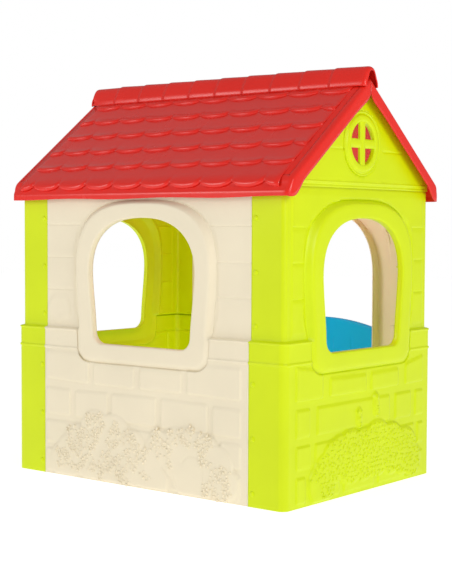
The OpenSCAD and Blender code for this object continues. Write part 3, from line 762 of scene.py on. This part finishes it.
def roof_apron_sheet():
    """Edge of a slope: the verge boards and the eave board in one band that turns round both corners."""
    radius = 16.0
    path = []
    for s in (-1, 1):
        leg = [(s * ROOF_HALF, y, (float(s), 0.0)) for y in steps(-EAVE_Y + radius, 0.0, 9.0)]
        arc = []
        for i in range(1, 8):
            a = math.pi / 2 * i / 8
            arc.append((s * (ROOF_HALF - radius + radius * math.cos(a)), -EAVE_Y + radius - radius * math.sin(a),
                        (s * math.cos(a), -math.sin(a))))
        if s < 0:
            path += list(reversed(leg)) + arc
        else:
            path += [(x, -EAVE_Y, (0.0, -1.0)) for x in steps(-ROOF_HALF + radius, ROOF_HALF - radius, 9.0)]
            path += list(reversed(arc)) + leg
    turn = 14.0
    section = [(turn + 4, -0.25)]
    section += [(turn * (1 - math.sin(math.pi / 2 * i / 7)), turn * 0.9 * (1 - math.cos(math.pi / 2 * i / 7)))
                for i in range(8)]
    depth = [0.25, 0.5, 0.75, 1.0]

    def place(u, v):
        x, y, (nx, ny) = path[int(round(u))]
        k = int(round(v))
        back, drop = section[min(k, len(section) - 1)]
        px, py = x - nx * back, y - ny * back
        if k < len(section):
            z = slope_z(py) - drop
            rim = EAVE_RIM * abs(ny) ** 3 * smooth_step((872 - z) / 13)
            return Vector((px + nx * rim, py + ny * rim, z))
        top = slope_z(py) - drop
        wave = 1.6 * (1 + math.sin(x / 62.0)) if abs(ny) > 0.9 else 1.5
        verge = slope_z(y) - 47.0 - 6 * smooth_step((y + 90) / 90) + 10 * smooth_step((y + 14) / 14)
        low = max(EAVE_LOW + wave, verge)
        blend = smooth_step((y + EAVE_Y - 4) / 60)
        low = mix(EAVE_LOW + wave, low, blend) if y < -EAVE_Y + 64 else low
        rim = EAVE_RIM * abs(ny) ** 3
        return Vector((px + nx * rim, py + ny * rim, mix(top, low, depth[k - len(section)])))
    rows = list(range(len(section) + len(depth) - 1, -1, -1))
    return sheet(list(range(len(path))), rows, place)


def tile_row_sheet(row, pitch_x, row_pitch, lip, tiles_half):
    """One course of scalloped tiles, each with a rounded lip that hangs lowest in its middle."""
    shift = 0.0 if row % 2 == 0 else 0.5
    edge = ROOF_HALF - VERGE_BAND
    first = -14.5 + row * row_pitch
    across = steps(-edge, edge, pitch_x / 18,
                   [pitch_x * (k / 2) for k in range(-2 * tiles_half, 2 * tiles_half + 1)])
    length = row_pitch + 26
    if row == 5:
        length = 449.0 - first
    section = [(-0.4, -0.8), (0.0, 0.26), (0.8, 0.52), (2.2, 0.76), (4.4, 0.93), (7.5, 1.0), (11, 0.98),
               (15, 0.88), (19, 0.74), (24, 0.60), (30, 0.50), (38, 0.43), (50, 0.36), (66, 0.28),
               (length * 0.88, 0.16), (length, 0.02)]
    section = sorted({(min(a, length), b) for a, b in section})

    def place(x, v):
        t = x / pitch_x + shift
        s = 2 * (t - math.floor(t)) - 1
        near_verge = smooth_step((edge - abs(x)) / 12)
        along, share = section[int(round(v))]
        drop = 20.6 * (1 - math.sqrt(1 - 0.97 * s * s))
        seam = max(0.0, abs(s) - 0.84) / 0.16 * math.exp(-(along / 26) ** 2)
        height = lip * (0.74 + 0.26 * (1 - s * s)) * (1 - 0.6 * seam)
        u = min(first + drop * (1 - along / length) ** 0.5 + along, 449.0)
        out = max(height * share, -0.6) * (0.55 + 0.45 * near_verge)
        return on_slope(x, u, out)
    return sheet(across, list(range(len(section))), place)


def ridge_cap_sheet(pitch):
    """Ridge cap: overlapping ridge tiles, each end towards -X standing over its neighbour."""
    half = [(35.0, -25.0), (35.2, -20.0), (34.4, -13.0), (32.4, -7.0), (28.5, 1.0), (24.0, 10.5), (19.5, 19.0),
            (15.5, 24.6), (11.0, 28.4), (5.5, 30.3), (0.0, 30.8)]
    section = [(-a, b) for a, b in half] + [(a, b) for a, b in reversed(half[:-1])]
    xs, grows = [], []
    end = ROOF_HALF
    for i in range(6):
        a = math.pi / 2 * i / 6
        xs.append(-end + 9 * (1 - math.cos(a)))
        grows.append(-9 * (1 - math.sin(a)))
    marks = [k * pitch for k in range(-4, 5)]
    last = xs[-1]
    for mark in marks + [end - 9]:
        top = 2.6 if last > -end + 20 else 0.0
        span = mark - last
        for t in (0.02, 0.05, 0.3, 0.6, 0.9, 1.0):
            if t * span + last > mark - 0.4 and mark < end - 10:
                xs.append(mark - 0.5)
            else:
                xs.append(last + span * t)
            grows.append(top * (1 - t))
        last = mark
    for i in range(1, 7):
        a = math.pi / 2 * i / 6
        xs.append(end - 9 + 9 * math.sin(a))
        grows.append(-9 * (1 - math.cos(a)))

    def place(u, v):
        k = int(round(u))
        y, z = section[int(round(v))]
        length = math.hypot(y, z + 10) or 1.0
        grow = grows[k]
        slant = -5.0 * abs(y) / 44.0 if 6 < k < len(xs) - 7 else 0.0
        lift = (z + 10) / length * grow * (1 if z > -20 else 0)
        return Vector((xs[k] + slant, y + y / length * grow, APEX_Z + z + lift))
    return sheet(list(range(len(xs))), list(range(len(section) - 1, -1, -1)), place)


# ---------------------------------------------------------------- gable top

def roof_under(y):
    """Height of the underside of the roof over one distance from the ridge."""
    return APEX_Z - SKIN / math.cos(PITCH) - (APEX_Z - EAVE_TOP) / EAVE_Y * abs(y) - 0.5


# Heights where a gable top's face is cut for its lower beads and for its joint line
BEAD_CUTS = (SEAM_Z + 0.1, 875.8, 877.5, 879.0, 880.5, 882.2, 884.2, 885.6, 887.0, 888.4, 890.0)
JOINT_CUTS = (979.2, 980.4, 981, 981.8, 983.2)


def gable_top_sheet():
    """Outer face of a gable top, opened for its round window."""
    half = HALF_DEPTH - INSET
    up = HALF_LENGTH - INSET
    across = steps(-half + 0.2, half - 0.2, 6.5, (0, -half + 4, half - 4))
    rows = steps(0.0, 1.0, 0.028, [0.02, 0.05])
    ring = [(92 * math.cos(2 * math.pi * i / 72), 1000 + 92 * math.sin(2 * math.pi * i / 72)) for i in range(72)]

    def relief(y, z):
        out = 0.0
        for low in (879.0, 887.0):
            t = abs(z - low) / 3.0
            if t < 1 and abs(y) < half - 16:
                out += (1.6 if low == 887 else -1.2) * math.cos(math.pi / 2 * t)
        return out - groove(y, z, ((981, 116, 212), (981, -156, -84)), 1.6, fade=6)
    bm = bmesh.new()
    columns, count = len(across) - 1, len(rows) - 1
    bmesh.ops.create_grid(bm, x_segments=columns, y_segments=count, size=1.0)
    for vert in bm.verts:
        y = across[round((vert.co.x + 1) / 2 * columns)]
        t = rows[round((vert.co.y + 1) / 2 * count)]
        vert.co = (y, mix(SEAM_Z + 0.1, roof_under(y), t), 0.0)
    open_outline(bm, ring)
    for height in BEAD_CUTS + JOINT_CUTS:
        bmesh.ops.bisect_plane(bm, geom=bm.verts[:] + bm.edges[:] + bm.faces[:], plane_co=(0, height, 0),
                               plane_no=(0, 1, 0), dist=0.05)
    for vert in bm.verts:
        y, z = vert.co.x, vert.co.y
        vert.co = (up + relief(y, z), y, z)
    return bm


def round_window():
    """Ring of the round window with its fine outer line."""
    up = HALF_LENGTH - INSET
    section = [(93.5, -0.6), (92.6, 1.6), (91.0, 2.8), (89.2, 2.4), (87.4, 0.6), (85.6, 0.4), (84.0, 1.6),
               (82.4, 4.0), (79.5, 5.8), (75.0, 6.4), (69.0, 6.6), (65.0, 6.2), (62.4, 4.8), (61.2, 2.6),
               (61.0, 0.0), (61.0, -4.5), (61.0, -9.0)]
    count = 96

    def place(u, v):
        a = 2 * math.pi * (int(round(u)) % count) / count
        r, out = section[int(round(v))]
        return Vector((up + out, r * math.cos(a), 1000 + r * math.sin(a)))
    return sheet(list(range(count + 1)), list(range(len(section))), place, closed=True)


def glazing_bars():
    """Two rounded bars that cross in the round window."""
    up = HALF_LENGTH - INSET
    bm = bmesh.new()
    for across in (False, True):
        half, reach = 13.0, 63.5
        bars = steps(-reach, reach, 6.0)
        section = [(half * math.cos(math.pi * i / 12), 3.6 * math.sin(math.pi * i / 12) + 1.0) for i in range(13)]
        section = [(half, -5.5)] + section + [(-half, -5.5)]

        def place(u, v):
            y, out = section[int(round(v))]
            out += 0.6 if not across else 0.0
            if across:
                return Vector((up + out, u, 1000 + y))
            return Vector((up + out, -y, 1000 + u))
        one = sheet(bars, list(range(len(section))), place)
        loops = [e for e in one.edges if e.is_boundary]
        bmesh.ops.holes_fill(one, edges=loops, sides=0)
        bmesh.ops.recalc_face_normals(one, faces=one.faces)
        join(bm, one)
    return bm


def join(bm, other):
    """Adds one shape to another."""
    mesh = bpy.data.meshes.new("joining")
    other.to_mesh(mesh)
    other.free()
    bm.from_mesh(mesh)
    bpy.data.meshes.remove(mesh)


def gable_top_flanges(bm):
    """Foot flange of a gable top and the two flanges under the slopes."""
    up = HALF_LENGTH - INSET
    block(bm, up - 26, up - 1.5, -329, 329, SEAM_Z + 0.1, SEAM_Z + SKIN)
    for s in (-1, 1):
        for a, b in ((366.0, 190.0), (190.0, 14.0)):
            made = bmesh.ops.create_cube(bm, size=1.0)["verts"]
            for vert in made:
                y = a if vert.co.y < 0 else b
                z = roof_under(y) - (0.2 if vert.co.z > 0 else SKIN + 0.8)
                vert.co = (up - 1.5 if vert.co.x > 0 else up - 26, s * y, max(z, SEAM_Z + 0.1))
    bmesh.ops.recalc_face_normals(bm, faces=bm.faces)


# ---------------------------------------------------------------- half-door

HINGE_X = DOOR_X - DOOR_HALF + 1.8 + 11.0
FREE_X = DOOR_X + DOOR_HALF - 1.8
DOOR_FACE, DOOR_THICK = 378.0, 22.0
DOOR_LOW = 50.2
PLANK_LOW, PLANK_TOP = 78, 412   # where the grooves between the planks end


def door_top(x):
    """Height of the half-door's arched top."""
    top = 469 - 710 + math.sqrt(710 ** 2 - (x - DOOR_X) ** 2)
    return min(top, 446.9) if x < HINGE_X + 23 else top


def half_door_shape():
    """Blue half-door: planked on both faces, with rounded edges and a round hinge edge."""
    left, right = HINGE_X - 11.0, FREE_X
    planks = [HINGE_X + 74 * i for i in range(1, 5)]
    marks = [p + d for p in planks for d in (-4, -2, 0, 2, 4)]
    marks += [left + d for d in (0.4, 1.5, 3.3, 5.5, 8, 11)] + [right - d for d in (0.4, 1.2, 2.5, 4, 6)]
    across = steps(left, right, 7.0, marks)
    rows = [0, 0.0015, 0.005, 0.012] + steps(0.03, 0.955, 0.022) + [0.978, 0.988, 0.994, 0.9985, 1.0]

    def face_sheet(front):
        bm = bmesh.new()
        columns, count = len(across) - 1, len(rows) - 1
        bmesh.ops.create_grid(bm, x_segments=columns, y_segments=count, size=1.0)
        for vert in bm.verts:
            x = across[round((vert.co.x + 1) / 2 * columns)]
            t = rows[round((vert.co.y + 1) / 2 * count)]
            vert.co = (x, mix(DOOR_LOW, door_top(x), t), 0.0)
        for vert in bm.verts:
            x, z = vert.co.x, vert.co.y
            gap_left, gap = x - left, min(right - x, z - DOOR_LOW, (door_top(x) - z))
            back = 0.0
            if gap_left < 11:
                back = 11 - math.sqrt(max(0.0, 121 - (11 - gap_left) ** 2))
            if gap < 5:
                back = max(back, 5 - math.sqrt(max(0.0, 25 - (5 - gap) ** 2)))
            if PLANK_LOW < z < PLANK_TOP and x > HINGE_X + 12:
                ends = smooth_step((PLANK_TOP - z) / 6) * smooth_step((z - PLANK_LOW) / 6)
                for plank in planks:
                    if abs(x - plank) < 4:
                        back += 1.6 * math.cos(math.pi / 2 * abs(x - plank) / 4) * ends
            y = DOOR_FACE - back if front else DOOR_FACE - DOOR_THICK + back
            vert.co = (x, y, z)
        return bm
    bm = face_sheet(False)
    front = face_sheet(True)
    bmesh.ops.reverse_faces(front, faces=front.faces)
    join(bm, front)
    bmesh.ops.bridge_loops(bm, edges=[e for e in bm.edges if e.is_boundary])
    bmesh.ops.recalc_face_normals(bm, faces=bm.faces)
    return bm


# ---------------------------------------------------------------- settings and operators

class PlayhouseSettings(bpy.types.PropertyGroup):
    blossom_size: bpy.props.FloatProperty(
        name="Blossom Size", description="Diameter of the blossoms on the bushes, in millimetres",
        default=24.0, min=16.0, max=34.0)
    petal_size: bpy.props.FloatProperty(
        name="Petal Size", description="Spacing of the petals on the gable bushes, in millimetres",
        default=15.0, min=11.0, max=22.0)
    tile_lip: bpy.props.FloatProperty(
        name="Tile Lip", description="Height of the lip of a roof tile, in millimetres",
        default=9.0, min=5.0, max=11.0)
    tile_width: bpy.props.FloatProperty(
        name="Tile Width", description="Width of a roof tile, in millimetres", default=112.0, min=80.0, max=130.0)
    ridge_tile: bpy.props.FloatProperty(
        name="Ridge Tile", description="Length of a ridge tile, in millimetres", default=106.0, min=90.0, max=120.0)
    lime: bpy.props.FloatVectorProperty(
        name="Lime", description="Colour of the gable walls and gable tops", subtype="COLOR", size=3,
        min=0, max=1, default=linear("#D6E800")[:3])
    cream: bpy.props.FloatVectorProperty(
        name="Cream", description="Colour of the side walls", subtype="COLOR", size=3,
        min=0, max=1, default=linear("#F0E4C8")[:3])
    red: bpy.props.FloatVectorProperty(
        name="Red", description="Colour of the roof", subtype="COLOR", size=3,
        min=0, max=1, default=linear("#E8261A")[:3])
    blue: bpy.props.FloatVectorProperty(
        name="Blue", description="Colour of the half-door", subtype="COLOR", size=3,
        min=0, max=1, default=linear("#00B5FF")[:3])


class PLAYHOUSE_OT_side_walls(bpy.types.Operator):
    """Build the cream window wall and door wall with their stones, belts and surrounds"""
    bl_idname = "playhouse.side_walls"
    bl_label = "Side Walls"

    def execute(self, context):
        look = context.scene.playhouse
        cream = plastic("cream")
        finish_piece("window_wall_skin", side_wall_sheet("window"), cream, replaces=("window_wall",),
                     skin=SKIN)
        ring = surround_sheet(WINDOW_IN, WINDOW_OUT, SURROUND_FACE, WINDOW_BACK, lambda x, z: belt_profile(z) - 3.4)
        finish_piece("window_wall_surround", stand_up(ring, "window"), cream, skin=SKIN)
        finish_piece("window_wall_blossoms", window_blossoms(look.blossom_size), cream)
        finish_piece("door_wall_skin", side_wall_sheet("door"), cream, replaces=("door_wall",), skin=SKIN)
        ring = surround_sheet(DOOR_IN, DOOR_OUT, 4.0, -30.0, lambda x, z: belt_profile(z) - 3.0,
                              joints=door_joints, head=EAVE_LOW - 1)
        finish_piece("door_wall_surround", stand_up(ring, "door", -DOOR_X), cream, skin=SKIN)
        for side in ("window", "door"):
            bm = bmesh.new()
            flange_blocks(bm, side)
            if side == "door":
                door_fittings(bm)
            finish_piece(side + "_wall_flanges", bm, cream, sharp=35)
        return {"FINISHED"}


def door_joints(x, z, i, share):
    """Joints between the stones of the doorway's surround."""
    deep = 0.0
    for height in (235, 470):
        if abs(z - height) < 3:
            deep = max(deep, 2.2 * math.cos(math.pi / 2 * abs(z - height) / 3))
    if z > 500:
        turn = math.degrees(math.atan2(z - 560, x))
        for a in (38, 66, 114, 142):
            off = abs(turn - a)
            if off < 1.1:
                deep = max(deep, 2.2 * math.cos(math.pi / 2 * off / 1.1))
    return deep


def door_fittings(bm):
    """Hinge lug, hinge seat and door stop of the doorway."""
    lug_z, hinge_y = 449.2, 367.0
    peg(bm, (HINGE_X, hinge_y, lug_z + 6), (0, 0, 1), 10, 12, segments=32)
    block(bm, HINGE_X - 12.8, HINGE_X, hinge_y - 10, hinge_y + 10, lug_z, lug_z + 12)
    peg(bm, (HINGE_X, hinge_y, DOOR_SILL - 5.6), (0, 0, 1), 10, 8.8, segments=32)
    block(bm, DOOR_X + DOOR_HALF - 12, DOOR_X + DOOR_HALF + 1, 350, 354, DOOR_SILL - 1, 340)


class PLAYHOUSE_OT_gable_walls(bpy.types.Operator):
    """Build the two lime gable walls with their rounded corners, returns, stones and bushes"""
    bl_idname = "playhouse.gable_walls"
    bl_label = "Gable Walls"

    def execute(self, context):
        look = context.scene.playhouse
        lime = plastic("lime")
        for side, turned in (("right", False), ("left", True)):
            name = "gable_wall_" + side
            finish_piece(name + "_skin", gable_wall_sheet(), lime, replaces=(name,), skin=SKIN, turned=turned)
            ring = surround_sheet(WINDOW_IN, WINDOW_OUT, SURROUND_FACE, WINDOW_BACK,
                                  lambda y, z: belt_profile(z) - 3.4)
            finish_piece(name + "_surround", stand_up(ring, "gable"), lime, skin=SKIN, turned=turned)
            finish_piece(name + "_blossoms", gable_blossoms(look.petal_size), lime, turned=turned)
            bm = bmesh.new()
            gable_flanges(bm)
            finish_piece(name + "_flanges", bm, lime, sharp=35, turned=turned)
        return {"FINISHED"}


class PLAYHOUSE_OT_gable_tops(bpy.types.Operator):
    """Build the two lime gable tops with their round barred windows"""
    bl_idname = "playhouse.gable_tops"
    bl_label = "Gable Tops"

    def execute(self, context):
        lime = plastic("lime")
        for side, turned in (("right", False), ("left", True)):
            name = "gable_top_" + side
            finish_piece(name + "_skin", gable_top_sheet(), lime, replaces=(name,), skin=SKIN, turned=turned)
            finish_piece(name + "_ring", round_window(), lime, skin=SKIN, turned=turned)
            finish_piece(name + "_bars", glazing_bars(), lime, turned=turned, sharp=50)
            bm = bmesh.new()
            gable_top_flanges(bm)
            finish_piece(name + "_flanges", bm, lime, sharp=35, turned=turned)
        return {"FINISHED"}


class PLAYHOUSE_OT_roof(bpy.types.Operator):
    """Build the two tiled roof slopes, their boards and the ridge cap"""
    bl_idname = "playhouse.roof"
    bl_label = "Roof"

    def execute(self, context):
        look = context.scene.playhouse
        red = plastic("red")
        for side, turned in (("window", False), ("door", True)):
            name = "roof_" + side + "_side"
            base = sheet(steps(-ROOF_HALF + 14, ROOF_HALF - 14, 40.0), steps(16, 484, 40.0),
                         lambda x, u: on_slope(x, u, 0.0))
            finish_piece(name + "_slope", base, red, replaces=(name,), skin=SKIN, turned=turned)
            finish_piece(name + "_boards", roof_apron_sheet(), red, skin=SKIN, turned=turned)
            tiles = bmesh.new()
            for row in range(6):
                join(tiles, tile_row_sheet(row, look.tile_width, TILE_ROW, look.tile_lip, 6))
            finish_piece(name + "_tiles", tiles, red, skin=1.6, turned=turned)
        finish_piece("ridge_cap", ridge_cap_sheet(look.ridge_tile), red, skin=SKIN)
        return {"FINISHED"}


class PLAYHOUSE_OT_half_door(bpy.types.Operator):
    """Build the blue half-door"""
    bl_idname = "playhouse.half_door"
    bl_label = "Half-Door"

    def execute(self, context):
        finish_piece("half_door_board", half_door_shape(), plastic("blue"), body="door",
                     replaces=("half_door",), sharp=60)
        return {"FINISHED"}


class PLAYHOUSE_OT_fastenings(bpy.types.Operator):
    """Give the screws, the hinge pins and the washer their finishes"""
    bl_idname = "playhouse.fastenings"
    bl_label = "Fastenings"

    def execute(self, context):
        zinc = zinc_plated_steel("zinc plated steel")
        lime = plastic("lime")
        cream = plastic("cream")
        for name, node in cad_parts.items():
            if name.startswith("seam_screws"):
                finish = lime
            elif name == "hinge_washer":
                finish = cream
            elif name.startswith(("hinge_pin", "gable_screws", "roof_screws", "ridge_screws")):
                finish = zinc
            else:
                continue
            for slot in node.material_slots:
                slot.material = finish
        return {"FINISHED"}


class PLAYHOUSE_OT_stage(bpy.types.Operator):
    """Set up the pale floor, the soft studio light and the camera"""
    bl_idname = "playhouse.stage"
    bl_label = "Stage"

    def execute(self, context):
        scene = context.scene
        scene.view_settings.view_transform = "Standard"
        bm = bmesh.new()
        bmesh.ops.create_grid(bm, x_segments=1, y_segments=1, size=14.0)
        mesh = bpy.data.meshes.new("floor")
        bm.to_mesh(mesh)
        bm.free()
        floor = bpy.data.objects.new("floor", mesh)
        scene.collection.objects.link(floor)
        mesh.materials.append(white_paper(FLOOR_GLOW))
        self.add_world(scene)
        for name, place, aim, size, power in (
            ("front", (-2.9, -4.2, 2.3), (0, 0, 0.6), 1.8, 60.0),
            ("side", (4.3, -1.4, 2.2), (0.3, 0, 0.7), 1.8, 76.0),
            ("inside", (0.05, -0.16, 0.93), (0.10, 0.38, 0.45), 0.25, 1.6),
        ):
            light = bpy.data.lights.new(name, "AREA")
            light.shape = "SQUARE"
            light.size = size
            light.energy = power
            lamp = bpy.data.objects.new(name, light)
            lamp.location = place
            lamp.rotation_euler = (Vector(aim) - Vector(place)).to_track_quat("-Z", "Y").to_euler()
            scene.collection.objects.link(lamp)
        self.add_camera(scene)
        return {"FINISHED"}

    @staticmethod
    def add_world(scene):
        """White all round: the room's light is softer than the white that shows behind the house."""
        world = bpy.data.worlds.new("studio")
        world.use_nodes = True
        tree = world.node_tree
        tree.nodes.clear()
        path = add_node(tree, "ShaderNodeLightPath")
        room, seen = (add_node(tree, "ShaderNodeBackground", Color=(1.0, 1.0, 1.0, 1.0), Strength=strength)
                      for strength in (ROOM_LIGHT, 1.0))
        both = add_node(tree, "ShaderNodeMixShader", {"Fac": path.outputs["Is Camera Ray"]})
        tree.links.new(room.outputs["Background"], both.inputs[1])
        tree.links.new(seen.outputs["Background"], both.inputs[2])
        out = add_node(tree, "ShaderNodeOutputWorld")
        tree.links.new(both.outputs["Shader"], out.inputs["Surface"])
        scene.world = world

    @staticmethod
    def add_camera(scene):
        azimuth, elevation, roll = (math.radians(a) for a in CAMERA_ANGLES)
        back = Vector((math.sin(azimuth) * math.cos(elevation), -math.cos(azimuth) * math.cos(elevation),
                       math.sin(elevation)))
        right = (-back).cross(Vector((0, 0, 1))).normalized()
        up = right.cross(-back)
        across = math.cos(roll) * right + math.sin(roll) * up
        above = -math.sin(roll) * right + math.cos(roll) * up
        lens = bpy.data.cameras.new("camera")
        lens.sensor_fit = "VERTICAL"
        lens.sensor_height = 36.0
        lens.lens = CAMERA_LENS
        camera = bpy.data.objects.new("camera", lens)
        turn = Matrix((across, above, back)).transposed()
        camera.matrix_world = Matrix.Translation(CAMERA_PLACE) @ turn.to_4x4()
        scene.collection.objects.link(camera)
        scene.camera = camera


class PLAYHOUSE_PT_panel(bpy.types.Panel):
    bl_label = "Plastic Playhouse"
    bl_idname = "PLAYHOUSE_PT_panel"
    bl_space_type = "VIEW_3D"
    bl_region_type = "UI"
    bl_category = "Playhouse"

    def draw(self, context):
        look = context.scene.playhouse
        for key in PlayhouseSettings.__annotations__:
            self.layout.prop(look, key)
        for operator in OPERATORS:
            self.layout.operator(operator.bl_idname)


OPERATORS = (
    PLAYHOUSE_OT_side_walls, PLAYHOUSE_OT_gable_walls, PLAYHOUSE_OT_gable_tops, PLAYHOUSE_OT_roof,
    PLAYHOUSE_OT_half_door, PLAYHOUSE_OT_fastenings, PLAYHOUSE_OT_stage,
)
CLASSES = (PlayhouseSettings,) + OPERATORS + (PLAYHOUSE_PT_panel,)


def register():
    for cls in CLASSES:
        bpy.utils.register_class(cls)
    bpy.types.Scene.playhouse = bpy.props.PointerProperty(type=PlayhouseSettings)


def unregister():
    del bpy.types.Scene.playhouse
    for cls in reversed(CLASSES):
        bpy.utils.unregister_class(cls)


def main():
    register()
    for operator in OPERATORS:
        group, name = operator.bl_idname.split(".")
        getattr(getattr(bpy.ops, group), name)()


if __name__ == "__main__":
    main()
